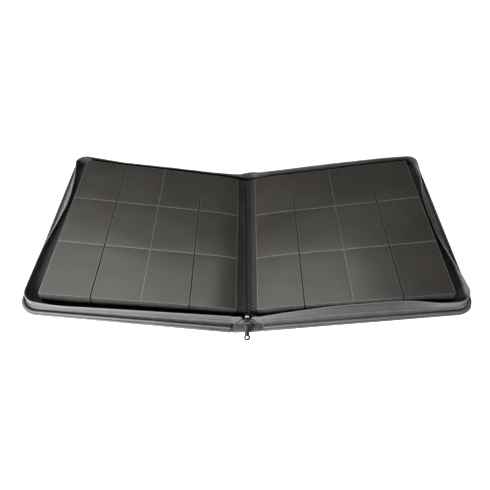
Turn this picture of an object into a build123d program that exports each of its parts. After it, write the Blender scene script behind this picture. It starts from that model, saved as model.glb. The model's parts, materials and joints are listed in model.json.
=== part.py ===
"""Zip-around trading card binder, lying open at its middle.

Origin: centre of the spine's underside. +X is to the right across the open binder, +Y runs along the
spine away from the zip slider, +Z is up. Both covers rise outwards in a shallow V.
All sizes are in millimetres.
"""
import math
import os

from build123d import *

# ---- card pockets and leaves
pocket_width = 70.0          # one side-loading pocket, across the leaf
pocket_height = 94.33        # one pocket, along the spine
pocket_columns = 4
pocket_rows = 3
leaves_per_side = 10
leaf_thickness = 1.4         # core sheet with an empty film pocket on each face
core_thickness = 0.5
leaf_pitch = 1.95            # one leaf to the next in the stack
slit_width = 1.2             # gap between film strips, where the cards go in
margin_thickness = 0.5
gutter_half = 15.2           # gutter centre to the pockets of the top leaf
crease_half = 0.98           # gutter centre to the top leaf's bound edge
stack_clearance = 0.85       # stack to the cover lining when the binder is shut
closed_gap = 0.7             # top leaf to the closing plane when the binder is shut

# ---- covers
open_tilt = 9.0              # each cover's rise in the open binder, degrees
outer_margin = 28.184        # pockets to the cover's outer edge
cover_margin = 21.0          # pockets to cover edge, at the front and the back
cover_corner = 16.0
cover_start = 1.5            # hinge line to the cover's stiff panel
skin = 1.0
skin_turn_in = 1.2
foam = 1.4
board = 1.8
lining = 0.8
layer_gap = 0.1              # board, foam and lining stay this far inside the skin's turned-in rim

# ---- zip band that stands round three sides of each cover
band_inset = 7.0             # cover edge to the band's outer face
band_corner = 14.0
band_clearance = 0.3         # end of the band to the spine lining when the binder is shut
gusset_thickness = 0.7
gusset_height = 8.0
tape_thickness = 0.7
tape_overlap = 6.0           # tape sewn inside the gusset
coil_radius = 1.0
coil_gap = 0.5               # each coil to the closing plane when the binder is shut
piping_radius = 1.6
piping_inset = 3.0           # cover edge to the middle of the piping

# ---- spine
hinge_strip_width = 3.4      # spine panel to each hinge line
spine_skin = 1.0
spine_board = 2.2
spine_lining = 0.6
spine_layer_inset = 2.0
binding_inset = 3.6          # spine panel's edge to the binding strip
binding_thickness = 0.4
binding_clearance = 0.27     # binding strip to the lowest margin
strip_thickness = 0.9
strip_clearance = 0.2

# ---- zip slider and pull
slider_drop = 1.735          # top of the end gusset down to the pull's pivot
slider_length = 10.5
slider_width = 8.0
slider_plate = 1.2
slider_play = 0.5            # slider plates to the coils
bridge_width = 0.7           # post between the two coils
bail_width = 2.4
bail_thickness = 1.0
bail_space = 2.4             # under the bail, for the pull's bar
bar_radius = 0.8
pull_length = 26.0           # pivot to the middle of the ring
pull_width = 8.2
pull_thickness = 1.6
pull_ring_radius = 2.6
pull_window = 7.0            # opening round the bail
pull_arm = 1.6
pull_hang = 47.0             # pull's rest angle from straight down, degrees
end_clearance = 0.3
stop_size = 3.0

# ---- worked out from the values above
tilt_cos = math.cos(math.radians(open_tilt))
tilt_sin = math.sin(math.radians(open_tilt))
pocket_field = pocket_width * pocket_columns
half_field = pocket_height * pocket_rows / 2
half_cover = half_field + cover_margin
cover_thickness = skin + foam + board + lining
hinge_level = cover_thickness / 2
stack_height = (leaves_per_side - 1) * leaf_pitch + leaf_thickness
hinge_half = hinge_level + stack_clearance + stack_height + closed_gap
spine_panel_half = hinge_half - hinge_strip_width
binding_half = spine_panel_half - binding_inset
spine_top = spine_skin + spine_board + spine_lining
# the lowest margin's bound edge rests just above the binding strip
margin_drop = stack_height - (leaf_thickness - margin_thickness) / 2
margin_reach = hinge_half - crease_half - margin_drop * tilt_sin
margin_rise = spine_top + binding_thickness + binding_clearance - hinge_level
stack_top = margin_rise * tilt_cos + margin_reach * tilt_sin + margin_drop
margin_width = (gutter_half - crease_half) / tilt_cos
# the point where the top leaf's pockets begin
page_level = hinge_level + (stack_top - (hinge_half - gutter_half) * tilt_sin) / tilt_cos
stack_start = (gutter_half - hinge_half) * tilt_cos + (page_level - hinge_level) * tilt_sin
cover_length = stack_start + pocket_field + outer_margin
band_start = spine_top - hinge_level + band_clearance
band_length = cover_length - band_inset
half_band = half_cover - band_inset
band_top = hinge_level + hinge_half - coil_gap
coil_level = band_top - coil_radius
layer_length = band_length - gusset_thickness - tape_thickness / 2
half_layer = half_band - gusset_thickness - tape_thickness / 2
gusset_end_top = hinge_level + (coil_level - hinge_level) * tilt_cos
slider_level = gusset_end_top - slider_drop
pivot_y = -(half_layer + coil_radius + slider_play + slider_plate + bail_space / 2)


def write(name, shape):
    """One STEP file for each named node."""
    solids = shape.solids()
    export_step(solids[0] if len(solids) == 1 else Compound(children=solids), f"parts/{name}.step")


def on_cover(shape):
    """From the cover's own flat frame, with s along +X from the hinge line, to the right-hand cover."""
    return Pos(hinge_half, 0, hinge_level) * Rot(0, -open_tilt, 0) * Pos(0, 0, -hinge_level) * shape


def on_stack(shape):
    """From a leaf's flat frame, with its pockets from s = 0 and its top face at 0, to the right-hand stack."""
    return Pos(gutter_half, 0, page_level) * Rot(0, -open_tilt, 0) * shape


def write_pair(name, shape):
    write(f"right_{name}", shape)
    write(f"left_{name}", mirror(shape, about=Plane.YZ))


def slab(s_low, s_high, half_y, z_low, z_high):
    """A plain sheet between two distances from the hinge and two levels."""
    size = (s_high - s_low, 2 * half_y, z_high - z_low)
    return Pos((s_low + s_high) / 2, 0, (z_low + z_high) / 2) * Box(*size)


def panel(start, length, half_y, corner, z_low, z_high):
    """A sheet from start to length with its two outer corners rounded."""
    outline = RectangleRounded(2 * length, 2 * half_y, corner)
    outline &= Pos((start + length) / 2, 0) * Rectangle(length - start, 2 * half_y)
    return Pos(0, 0, z_low) * extrude(outline, z_high - z_low)


def u_wall(length, half_y, corner, thickness, z_low, z_high):
    """A thin wall round three sides of the cover, open at the hinge side."""
    whole = panel(band_start, length, half_y, corner, z_low, z_high)
    inside = panel(band_start - 1, length - thickness, half_y - thickness, corner - thickness,
                   z_low - 1, z_high + 1)
    return whole - inside


def u_cord(start, length, half_y, corner, level, radius):
    """A round cord along the same three sides."""
    path = FilletPolyline(
        (start, -half_y, level),
        (length, -half_y, level),
        (length, half_y, level),
        (start, half_y, level),
        radius=corner,
    )
    return sweep(Plane(path @ 0, z_dir=path % 0) * Circle(radius), path=path)


def cover_layers():
    """Skin with its rim turned up round the edge, then foam, board and lining inside it."""
    outer = panel(cover_start, cover_length, half_cover, cover_corner, 0, cover_thickness)
    inner = (cover_start + skin_turn_in, cover_length - skin_turn_in, half_cover - skin_turn_in,
             cover_corner - skin_turn_in)
    skin_shape = outer - panel(*inner, skin, cover_thickness + 1)
    fill = (inner[0] + layer_gap, inner[1] - layer_gap, inner[2] - layer_gap, inner[3] - layer_gap)
    foam_top = skin + foam
    board_top = foam_top + board
    write_pair("cover_skin", on_cover(skin_shape))
    write_pair("cover_foam", on_cover(panel(*fill, skin, foam_top)))
    write_pair("cover_board", on_cover(panel(*fill, foam_top, board_top)))
    write_pair("cover_lining", on_cover(panel(*fill, board_top, board_top + lining)))


def cover_piping():
    """Piping cord sewn on the flange outside the zip band."""
    length = cover_length - piping_inset
    half_y = half_cover - piping_inset
    level = cover_thickness + piping_radius
    cord = u_cord(cover_start, length, half_y, cover_corner - piping_inset, level, piping_radius)
    write_pair("cover_piping", on_cover(cord))


def zip_band():
    """Gusset on the cover, zip tape sewn inside it, and the coil on the tape's free edge."""
    gusset_top = cover_thickness + gusset_height
    gusset = u_wall(band_length, half_band, band_corner, gusset_thickness, cover_thickness, gusset_top)
    tape = u_wall(band_length - gusset_thickness, half_band - gusset_thickness,
                  band_corner - gusset_thickness, tape_thickness, gusset_top - tape_overlap,
                  coil_level - coil_radius)
    coil_corner = band_corner - gusset_thickness - tape_thickness / 2
    coil = u_cord(band_start, layer_length, half_layer, coil_corner, coil_level, coil_radius)
    write_pair("zip_gusset", on_cover(gusset))
    write_pair("zip_tape", on_cover(tape))
    write_pair("zip_coil", on_cover(coil))


def spine_layers():
    """Spine skin, board and lining, the binding strip, and the flexible strips at the hinges."""
    board_top = spine_skin + spine_board
    layer_half = spine_panel_half - spine_layer_inset
    layer_y = half_cover - spine_layer_inset
    write("spine_skin", slab(-spine_panel_half, spine_panel_half, half_cover, 0, spine_skin))
    write("spine_board", slab(-layer_half, layer_half, layer_y, spine_skin, board_top))
    write("spine_lining", slab(-layer_half, layer_half, layer_y, board_top, spine_top))
    write("binding_strip", slab(-binding_half, binding_half, half_field, spine_top,
                                spine_top + binding_thickness))
    strip_end = hinge_half + cover_start - strip_clearance
    strip = slab(spine_panel_half + strip_clearance, strip_end, half_cover - strip_clearance,
                 spine_skin - strip_thickness, spine_skin)
    write_pair("hinge_strip", strip)


def end_gussets():
    """Fabric walls that join the two zip bands across the ends of the spine."""
    foot = spine_top + end_clearance
    foot_half = hinge_half - end_clearance
    top = gusset_end_top
    top_half = hinge_half - (coil_level - hinge_level) * tilt_sin - end_clearance
    notch_half = slider_width / 2 + 1.0
    notch_floor = slider_level - slider_length / 2 - end_clearance
    wall = [(-foot_half, foot), (foot_half, foot), (top_half, top), (-top_half, top)]
    notched = wall[:3] + [(notch_half, top), (notch_half, notch_floor), (-notch_half, notch_floor),
                          (-notch_half, top)] + wall[3:]
    for name, outline, side in (("front", notched, -1), ("back", wall, 1)):
        face = Plane.XZ * make_face(Polyline(*outline, close=True))
        shape = extrude(face, tape_thickness / 2, both=True)
        write(f"{name}_end_gusset", Pos(0, side * half_layer, 0) * shape)
        stop_y = half_layer + coil_radius + end_clearance + stop_size / 4
        stop_level = notch_floor - stop_size
        stop = Pos(0, side * stop_y, stop_level) * Box(2 * stop_size, stop_size / 2, stop_size)
        write(f"{name}_zip_stop", stop)


def zip_slider():
    """Two plates joined by a thin post that runs between the coils, and a bail on the outer plate."""
    inner_y = -(half_layer - coil_radius - slider_play)
    outer_y = -(half_layer + coil_radius + slider_play)
    plate = extrude(Plane.XZ * RectangleRounded(slider_width, slider_length, 2.5), slider_plate)
    inner = Pos(0, inner_y + slider_plate, slider_level) * plate
    outer = Pos(0, outer_y, slider_level) * plate
    post = Pos(0, (inner_y + outer_y) / 2, slider_level) * Box(
        bridge_width, inner_y - outer_y + slider_plate, slider_length * 0.6)
    face = outer_y - slider_plate
    bail_reach = bail_space + bail_thickness
    bail_block = Pos(0, face - bail_reach / 2, slider_level) * Box(
        bail_width, bail_reach, slider_length - 1)
    bail_hole = Pos(0, face - bail_space / 2, slider_level) * Box(
        bail_width + 1, bail_space, slider_length - 1 - 2 * bail_thickness)
    bail_block = fillet(bail_block.edges().filter_by(Axis.X).group_by(Axis.Y)[0], bail_thickness)
    write("zip_slider", inner + outer + post + (bail_block - bail_hole))


def pull_tab():
    """Pull with a bar under the bail at one end and a ring at the other, made pointing along -Z."""
    end_radius = pull_width / 2
    blade = Pos(0, -(pull_length + pull_window - bar_radius) / 2) * Rectangle(
        pull_width, pull_length - pull_window - bar_radius)
    blade += Pos(0, -pull_length) * Circle(end_radius)
    blade -= Pos(0, -pull_length) * Circle(pull_ring_radius)
    arm_x = bail_width / 2 + 0.4 + pull_arm / 2
    for side in (-1, 1):
        blade += Pos(side * arm_x, -(pull_window + bar_radius) / 2) * Rectangle(
            pull_arm, pull_window + bar_radius + 1)
    flat = extrude(Plane.XZ * blade, pull_thickness / 2, both=True)
    bar = Rot(0, 90, 0) * Cylinder(bar_radius, 2 * arm_x + pull_arm)
    write("pull_tab", Pos(0, pivot_y, slider_level) * Rot(-pull_hang, 0, 0) * (flat + bar))


def leaf():
    """Core sheet with strips of pocket film on both faces; the slits between strips take the cards."""
    film = (leaf_thickness - core_thickness) / 2
    strips = [(0, 1), (1, pocket_columns - 1), (pocket_columns - 1, pocket_columns)]
    pieces = [slab(0, pocket_field, half_field, film - leaf_thickness, -film)]
    for first, last in strips:
        low = first * pocket_width + (slit_width / 2 if first else 0)
        high = last * pocket_width - (slit_width / 2 if last < pocket_columns else 0)
        pieces.append(slab(low, high, half_field, -film, 0))
        pieces.append(slab(low, high, half_field, -leaf_thickness, film - leaf_thickness))
    return pieces


def leaf_stack():
    """Ten leaves on each side, and their plain margins where they are bound."""
    margins = []
    for number in range(leaves_per_side):
        drop = Pos(0, 0, -number * leaf_pitch)
        write_pair(f"leaf_{number + 1:02d}", on_stack(Compound(children=[drop * p for p in leaf()])))
        middle = -leaf_thickness / 2
        sheet = slab(-margin_width, -strip_clearance, half_field, middle - margin_thickness / 2,
                     middle + margin_thickness / 2)
        margins.append(drop * sheet)
    write_pair("page_margins", on_stack(Compound(children=margins)))


def main():
    os.makedirs("parts", exist_ok=True)
    cover_layers()
    cover_piping()
    zip_band()
    spine_layers()
    end_gussets()
    zip_slider()
    pull_tab()
    leaf_stack()


main()
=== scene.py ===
import json
import math

import bmesh
import bpy
import numpy as np
from mathutils import Matrix, Vector, noise


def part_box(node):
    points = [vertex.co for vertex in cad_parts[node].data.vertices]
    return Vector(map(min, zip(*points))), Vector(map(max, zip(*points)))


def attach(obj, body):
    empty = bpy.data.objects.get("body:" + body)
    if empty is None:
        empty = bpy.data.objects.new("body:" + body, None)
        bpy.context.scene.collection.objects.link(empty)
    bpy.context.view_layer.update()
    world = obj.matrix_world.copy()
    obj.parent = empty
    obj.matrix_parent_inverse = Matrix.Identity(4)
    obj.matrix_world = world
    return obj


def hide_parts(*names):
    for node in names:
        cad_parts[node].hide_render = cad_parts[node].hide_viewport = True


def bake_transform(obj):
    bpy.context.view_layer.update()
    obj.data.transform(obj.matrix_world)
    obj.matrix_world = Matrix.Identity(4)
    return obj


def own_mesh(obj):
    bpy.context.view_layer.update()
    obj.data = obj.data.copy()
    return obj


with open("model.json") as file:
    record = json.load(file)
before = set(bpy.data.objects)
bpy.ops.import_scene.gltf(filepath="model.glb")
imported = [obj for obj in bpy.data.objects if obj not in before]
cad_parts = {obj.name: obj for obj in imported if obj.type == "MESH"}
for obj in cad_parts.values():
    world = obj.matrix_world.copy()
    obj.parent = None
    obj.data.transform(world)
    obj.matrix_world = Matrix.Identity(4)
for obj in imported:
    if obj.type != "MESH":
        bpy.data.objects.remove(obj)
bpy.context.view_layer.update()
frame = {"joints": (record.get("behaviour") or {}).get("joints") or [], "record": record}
mm = 0.001
joints = {j["name"]: j for j in frame["joints"]}
print("frame loaded")

# camera and lights
camera = {"place": (-0.003, -0.423, 0.5412), "pitch": 52.12, "lens": 28.74, "sensor": 36.0, "nearest": 0.01}
lights = {
    "key": {"place": (-0.37, -0.66, 0.36), "aim": (-0.12, -0.1, 0.02), "size": (0.34, 0.34), "power": 15},
    "top": {"place": (-0.39, 0.26, 0.85), "aim": (-0.39, 0.26, 0), "size": (1.2, 0.54), "power": 4.8},
}
roomLight = 0.06


def addObject(name, data):
    obj = bpy.data.objects.new(name, data)
    bpy.context.collection.objects.link(obj)
    return obj


def makeCamera():
    data = bpy.data.cameras.new("camera")
    data.sensor_width, data.lens, data.clip_start = camera["sensor"], camera["lens"], camera["nearest"]
    obj = addObject("camera", data)
    obj.location = camera["place"]
    obj.rotation_euler = (math.radians(90 - camera["pitch"]), 0, 0)
    bpy.context.scene.camera = obj


def makeLights():
    for name, v in lights.items():
        data = bpy.data.lights.new(name, "AREA")
        data.shape = "RECTANGLE"
        data.size, data.size_y = v["size"]
        data.energy = v["power"]
        obj = addObject(name, data)
        obj.location = v["place"]
        obj.rotation_euler = (Vector(v["aim"]) - obj.location).to_track_quat("-Z", "Y").to_euler()
    world = bpy.data.worlds.new("studio")
    world.use_nodes = True
    background = world.node_tree.nodes["Background"]
    background.inputs["Color"].default_value = (1, 1, 1, 1)
    background.inputs["Strength"].default_value = roomLight
    bpy.context.scene.world = world
    bpy.context.scene.view_settings.view_transform = "Standard"


makeCamera()
makeLights()
print("camera and lights made")


# materials
def newMaterial(name, color, rough, **more):
    mat = bpy.data.materials.new(name)
    mat.use_nodes = True
    shader = mat.node_tree.nodes["Principled BSDF"]
    shader.inputs["Base Color"].default_value = (*color, 1)
    shader.inputs["Roughness"].default_value = rough
    for key, value in more.items():
        shader.inputs[key.replace("_", " ")].default_value = value
    return mat


def putNode(tree, kind, settings, **feeds):  # a node, its own values and the sockets that feed it
    node = tree.nodes.new(kind)
    for key, value in settings.items():
        if key in node.inputs:
            node.inputs[key].default_value = value
        else:
            setattr(node, key, value)
    for key, socket in feeds.items():
        tree.links.new(socket, node.inputs[key.replace("_", " ")])
    return node


def coords(mat, kind="Object", turn=0.0):
    place = putNode(mat.node_tree, "ShaderNodeTexCoord", {}).outputs[kind]
    return putNode(mat.node_tree, "ShaderNodeMapping", {"Rotation": (0, 0, turn)}, Vector=place).outputs["Vector"]


def noiseOut(mat, vector, scale, detail=3.0, rough=0.5):
    settings = {"Scale": scale, "Detail": detail, "Roughness": rough}
    return putNode(mat.node_tree, "ShaderNodeTexNoise", settings, Vector=vector).outputs["Fac"]


def waveOut(mat, vector, scale, direction="X", distortion=0.0):
    settings = {"Scale": scale, "Distortion": distortion, "bands_direction": direction}
    return putNode(mat.node_tree, "ShaderNodeTexWave", settings, Vector=vector).outputs["Fac"]


def multiply(mat, a, b):
    node = putNode(mat.node_tree, "ShaderNodeMath", {"operation": "MULTIPLY"})
    for value, socket in zip((a, b), node.inputs):
        mat.node_tree.links.new(value, socket)
    return node.outputs[0]


def colorRamp(mat, fac, stops, socket="Base Color"):
    node = putNode(mat.node_tree, "ShaderNodeValToRGB", {}, Fac=fac)
    for element, (place, color) in zip(node.color_ramp.elements, stops):
        element.position = place
        element.color = (*color, 1) if len(color) == 3 else (color[0],) * 3 + (1,)
    mat.node_tree.links.new(node.outputs["Color"], mat.node_tree.nodes["Principled BSDF"].inputs[socket])


def addBump(mat, height, distance, strength):
    normal = mat.node_tree.nodes["Principled BSDF"].inputs["Normal"]
    bump = putNode(mat.node_tree, "ShaderNodeBump", {"Strength": strength, "Distance": distance}, Height=height)
    if normal.is_linked:
        mat.node_tree.links.new(normal.links[0].from_socket, bump.inputs["Normal"])
    mat.node_tree.links.new(bump.outputs["Normal"], normal)


def coatedFabric():
    mat = newMaterial("coatedFabric", (0.06, 0.06, 0.064), 0.55, Sheen_Weight=0.25, Sheen_Roughness=0.5)
    place = coords(mat)
    colorRamp(mat, noiseOut(mat, place, 60, 5, 0.65), [(0.3, (0.040, 0.040, 0.044)), (0.7, (0.072, 0.072, 0.077))])
    colorRamp(mat, noiseOut(mat, place, 420, 2), [(0.3, (0.46,)), (0.7, (0.66,))], "Roughness")
    cells = putNode(mat.node_tree, "ShaderNodeTexVoronoi", {"Scale": 900}, Vector=place).outputs["Distance"]
    addBump(mat, cells, 0.0002, 0.55)
    addBump(mat, noiseOut(mat, place, 2600, 2), 0.0001, 0.4)
    return mat


def crossWeave(mat, place, scale):
    return multiply(mat, waveOut(mat, place, scale, "X"), waveOut(mat, place, scale, "Y"))


def liningCloth():
    mat = newMaterial("liningCloth", (0.02, 0.02, 0.022), 0.85, Sheen_Weight=0.3)
    weave = crossWeave(mat, coords(mat), 420)
    colorRamp(mat, weave, [(0.0, (0.017, 0.016, 0.020)), (1.0, (0.055, 0.052, 0.062))])
    addBump(mat, weave, 0.0002, 0.6)
    return mat


def embossedMargin():
    mat = newMaterial("embossedMargin", (0.045, 0.045, 0.05), 0.5, Specular_IOR_Level=0.25)
    dots = crossWeave(mat, coords(mat, "UV"), 330)
    colorRamp(mat, dots, [(0.1, (0.018, 0.018, 0.021)), (0.7, (0.068, 0.068, 0.075))])
    addBump(mat, dots, 0.0003, 0.7)
    return mat


def zipCloth():
    mat = newMaterial("zipCloth", (0.05, 0.05, 0.055), 0.7, Sheen_Weight=0.2, Sheen_Roughness=0.4)
    twill = waveOut(mat, coords(mat, "UV", 0.9), 900, distortion=0.4)
    blotch = noiseOut(mat, coords(mat), 45, 4, 0.6)
    colorRamp(mat, multiply(mat, twill, blotch), [(0.1, (0.034, 0.034, 0.038)), (0.6, (0.072, 0.072, 0.079))])
    addBump(mat, twill, 0.00018, 0.7)
    return mat


def pocketFilm():
    mat = newMaterial("pocketFilm", (0.033, 0.03, 0.025), 0.33, Coat_Weight=0.35, Coat_Roughness=0.22)
    place = coords(mat)
    haze = noiseOut(mat, place, 9, 3, 0.55)
    colorRamp(mat, haze, [(0.3, (0.026, 0.023, 0.019)), (0.75, (0.041, 0.037, 0.031))])
    colorRamp(mat, noiseOut(mat, place, 14, 4, 0.6), [(0.3, (0.30,)), (0.75, (0.44,))], "Roughness")
    addBump(mat, waveOut(mat, coords(mat, turn=0.6), 260, distortion=0.5), 0.00006, 0.25)
    addBump(mat, noiseOut(mat, place, 28, 2, 0.5), 0.0012, 0.12)
    return mat


def slotMetal(name, low, high):
    mat = newMaterial(name, low, 0.3, Metallic=1.0)
    place = coords(mat)
    colorRamp(mat, noiseOut(mat, place, 500, 3), [(0.3, low), (0.7, high)])
    colorRamp(mat, noiseOut(mat, place, 900, 3), [(0.3, (0.28,)), (0.7, (0.5,))], "Roughness")
    addBump(mat, noiseOut(mat, place, 1400, 2), 0.00006, 0.3)
    return mat


# a grain is its scale, detail, darkest, place of the lightest, lightest; pits are scale, detail, depth, strength
plainFinishes = {
    "weldLine": {"base": (0.11, 0.105, 0.098), "rough": 0.3, "more": {"Coat_Weight": 0.3},
                 "grain": (300, 2, (0.085, 0.08, 0.073), 0.75, (0.15, 0.145, 0.135)), "pits": (900, 2, 0.0002, 0.4)},
    "pageCore": {"base": (0.016, 0.015, 0.015), "rough": 0.6, "more": {"Specular_IOR_Level": 0.15},
                 "grain": (25, 3, (0.011, 0.0105, 0.0105), 0.75, (0.021, 0.02, 0.02)), "pits": (1500, 2, 0.0001, 0.4)},
    "pitShadePaint": {"base": (0.003, 0.003, 0.0035), "rough": 0.9, "more": {"Specular_IOR_Level": 0.03},  # painted shade: near black with little specular, standing for the shade inside the weld pits
                "grain": (700, 2, (0.002, 0.002, 0.0025), 0.75, (0.006, 0.006, 0.007)),
                "pits": (1800, 2, 0.00008, 0.4)},
    "coilNylon": {"base": (0.12, 0.12, 0.125), "rough": 0.4, "more": {},
                  "grain": (700, 2, (0.09, 0.09, 0.095), 0.7, (0.17, 0.17, 0.175)), "pits": (2500, 2, 0.00005, 0.3)},
    "sewingThread": {"base": (0.10, 0.10, 0.105), "rough": 0.6, "more": {"Sheen_Weight": 0.4},
                     "grain": (2000, 2, (0.07, 0.07, 0.075), 0.7, (0.16, 0.16, 0.165)),
                     "pits": (3500, 2, 0.0001, 0.5)},
    # near-black line for the end walls: a real seam, with painted shadow along the gap beside the band's end
    "seamShadowPaint": {"base": (0.012, 0.012, 0.013), "rough": 0.7, "more": {"Specular_IOR_Level": 0.08},
                   "grain": (2000, 2, (0.004, 0.004, 0.0045), 0.7, (0.012, 0.012, 0.013)),
                   "pits": (3500, 2, 0.0001, 0.5)},
    "leafEdge": {"base": (0.008, 0.008, 0.01), "rough": 0.9, "more": {},
                 "grain": (220, 5, (0.008, 0.008, 0.01), 0.7, (0.018, 0.017, 0.02)), "pits": (900, 3, 0.0003, 0.5)},
}


def plainFinish(name, v):
    mat = newMaterial(name, v["base"], v["rough"], **v["more"])
    place = coords(mat)
    scale, detail, low, where, high = v["grain"]
    colorRamp(mat, noiseOut(mat, place, scale, detail), [(0.3, low), (where, high)])
    scale, detail, depth, strength = v["pits"]
    addBump(mat, noiseOut(mat, place, scale, detail), depth, strength)
    return mat


mats = {
    "cover": coatedFabric(), "lining": liningCloth(), "zip": zipCloth(), "film": pocketFilm(),
    "margin": embossedMargin(), "metal": slotMetal("slotMetal", (0.018, 0.017, 0.017), (0.04, 0.038, 0.036)),
    # a light metal for the slider's crown: painted highlight
    "bright": slotMetal("highlightPaintMetal", (0.6, 0.6, 0.58), (0.8, 0.79, 0.77)),
}
mats |= {name: plainFinish(name, v) for name, v in plainFinishes.items()}
print("materials made")


# places, all read from the frame
leafLow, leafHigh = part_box("right_leaf_01")
nextLow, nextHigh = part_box("right_leaf_02")
tilt = math.atan2(nextLow.x - leafLow.x, leafHigh.z - nextHigh.z)
tiltCos, tiltSin = math.cos(tilt), math.sin(tilt)
leafPitch = math.hypot(nextLow.x - leafLow.x, leafHigh.z - nextHigh.z)
hinge = Vector(joints["right_cover_hinge"]["pos_m"])
leafCount = sum(1 for name in joints if name.startswith("right_leaf"))
spans = (leafHigh.x - leafLow.x, leafHigh.z - leafLow.z)
leafLength = (spans[0] * tiltCos - spans[1] * tiltSin) / (tiltCos**2 - tiltSin**2)
leafThick = (spans[1] - leafLength * tiltSin) / tiltCos
leafHalf = leafHigh.y
leafOrigin = Vector((leafLow.x, 0, leafLow.z + leafThick * tiltCos))


def coverPoint(side, s, y, n):  # s from the hinge line, n up from the cover's underside
    rise = n - hinge.z
    return (side * (hinge.x + s * tiltCos - rise * tiltSin), y, hinge.z + s * tiltSin + rise * tiltCos)


def leafPoint(side, s, y, n):  # s from the start of the pockets, n from the top leaf's upper face
    return (side * (leafOrigin.x + s * tiltCos - n * tiltSin), y, leafOrigin.z + s * tiltSin + n * tiltCos)


def reach(node, n):  # how far from the hinge line a cover node goes, at level n
    return (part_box(node)[1].x - hinge.x + (n - hinge.z) * tiltSin) / tiltCos


coverThick = 2 * hinge.z
coverLength = reach("right_cover_skin", 0)
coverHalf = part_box("right_cover_skin")[1].y
bandLength = reach("right_zip_gusset", coverThick)
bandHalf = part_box("right_zip_gusset")[1].y
pipingInset = coverLength - reach("right_cover_piping", coverThick + 1.6 * mm) + 1.6 * mm
coilTop = (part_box("right_zip_coil")[1].z - mm - hinge.z - (bandLength - mm) * tiltSin) / tiltCos + hinge.z
gussetTop = (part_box("right_zip_gusset")[1].z - hinge.z - bandLength * tiltSin) / tiltCos + hinge.z
sides = {"left": -1, "right": 1}
print(f"cover {coverLength:.4f} x {2 * coverHalf:.4f}, leaf {leafLength:.4f} x {2 * leafHalf:.4f}, tilt {tilt:.4f}")


# mesh tools
def finishMesh(mesh, sharp=38, merge=None):  # faces outward, smooth up to the sharp angle
    work = bmesh.new()
    work.from_mesh(mesh)
    if merge:
        bmesh.ops.remove_doubles(work, verts=work.verts, dist=merge)
    bmesh.ops.recalc_face_normals(work, faces=work.faces)
    work.to_mesh(mesh)
    work.free()
    mesh.polygons.foreach_set("use_smooth", [True] * len(mesh.polygons))
    mesh.set_sharp_from_angle(angle=math.radians(sharp))


def makeObject(name, verts, faces, materials, faceMats=None, uv=None):
    mesh = bpy.data.meshes.new(name)
    mesh.from_pydata(np.asarray(verts, float).tolist(), [], faces)
    for material in materials:
        mesh.materials.append(material)
    if faceMats is not None:
        mesh.polygons.foreach_set("material_index", faceMats)
    if uv is not None:
        layer = mesh.uv_layers.new(name="UVMap")
        index = np.zeros(len(mesh.loops), int)
        mesh.loops.foreach_get("vertex_index", index)
        layer.data.foreach_set("uv", np.asarray(uv, float)[index].ravel())
    finishMesh(mesh)
    return addObject(name, mesh)


def flatGrid(a, b):
    return np.stack(np.meshgrid(a, b, indexing="ij"), -1)


def lifted(place, grid, level):  # a flat grid carried into space by place(s, y, n)
    level = np.broadcast_to(level, grid.shape[:2])
    return np.array([[place(a, b, n) for (a, b), n in zip(r, q)] for r, q in zip(grid, level)])


def gridFaces(rows, columns, start=0, wrap=False):
    faces = []
    for i in range(rows - 1):
        for j in range(columns if wrap else columns - 1):
            k = (j + 1) % columns
            faces.append((start + i * columns + j, start + i * columns + k,
                          start + (i + 1) * columns + k, start + (i + 1) * columns + j))
    return faces


def rimEdges(rows, columns):  # the grid's outer edges, one after another
    rim = [(0, j) for j in range(columns)] + [(i, columns - 1) for i in range(1, rows)]
    rim += [(rows - 1, j) for j in range(columns - 2, -1, -1)] + [(i, 0) for i in range(rows - 2, 0, -1)]
    loop = [i * columns + j for i, j in rim]
    return list(zip(loop, loop[1:] + loop[:1]))


def thinSolid(name, front, back, materials, uv, faceMats=None):
    rows, columns = front.shape[:2]
    count = rows * columns
    edges = rimEdges(rows, columns)
    faces = gridFaces(rows, columns) + [f[::-1] for f in gridFaces(rows, columns, count)]
    faces += [(b, a, a + count, b + count) for a, b in edges]
    verts = np.concatenate([front.reshape(-1, 3), back.reshape(-1, 3)])
    if faceMats is not None:
        faceMats = list(faceMats) * 2 + [faceMats[0]] * len(edges)
    return makeObject(name, verts, faces, materials, faceMats, np.concatenate([uv.reshape(-1, 2)] * 2))


def lengthsAlong(points):
    return np.concatenate([[0], np.cumsum(np.linalg.norm(np.diff(points, axis=0), axis=1))])


def tube(name, points, radius, materials, segments=10, up=(0, 0, 1)):
    points = np.asarray(points, float)
    tangent = np.gradient(points, axis=0)
    tangent /= np.linalg.norm(tangent, axis=1)[:, None]
    across = np.cross(tangent, up)
    across /= np.linalg.norm(across, axis=1)[:, None]
    upward = np.cross(across, tangent)
    turn = np.linspace(0, 2 * math.pi, segments, endpoint=False)
    rings = points[:, None] + radius * (across[:, None] * np.cos(turn)[None, :, None]
                                        + upward[:, None] * np.sin(turn)[None, :, None])
    faces = gridFaces(len(points), segments, wrap=True)
    faces += [tuple(range(segments)), tuple(range((len(points) - 1) * segments, len(points) * segments))]
    uv = flatGrid(lengthsAlong(points), radius * turn)
    return makeObject(name, rings.reshape(-1, 3), faces, materials, uv=uv.reshape(-1, 2))


def wobble(points, scale, seed=0.0):  # smooth noise between -1 and 1 at each (a, b)
    return np.array([noise.noise(Vector((a / scale, b / scale, seed))) for a, b in points])


def smoothRow(values, times):  # evens out a row, its two ends kept
    row = np.array(values, float)
    for _ in range(times):
        row[1:-1] = 0.25 * row[:-2] + 0.5 * row[1:-1] + 0.25 * row[2:]
    return row


def settle(piece, body, slot, *nodes):  # rides on its body and stands for the nodes
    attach(piece, body)
    if nodes:
        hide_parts(*nodes)


# geometry nodes: beads along a path, for stitches and zip teeth
bead = {"segments": 8, "rings": 5, "smallest": 0.92, "largest": 1.06, "seed": 4, "coreSides": 8}


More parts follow.
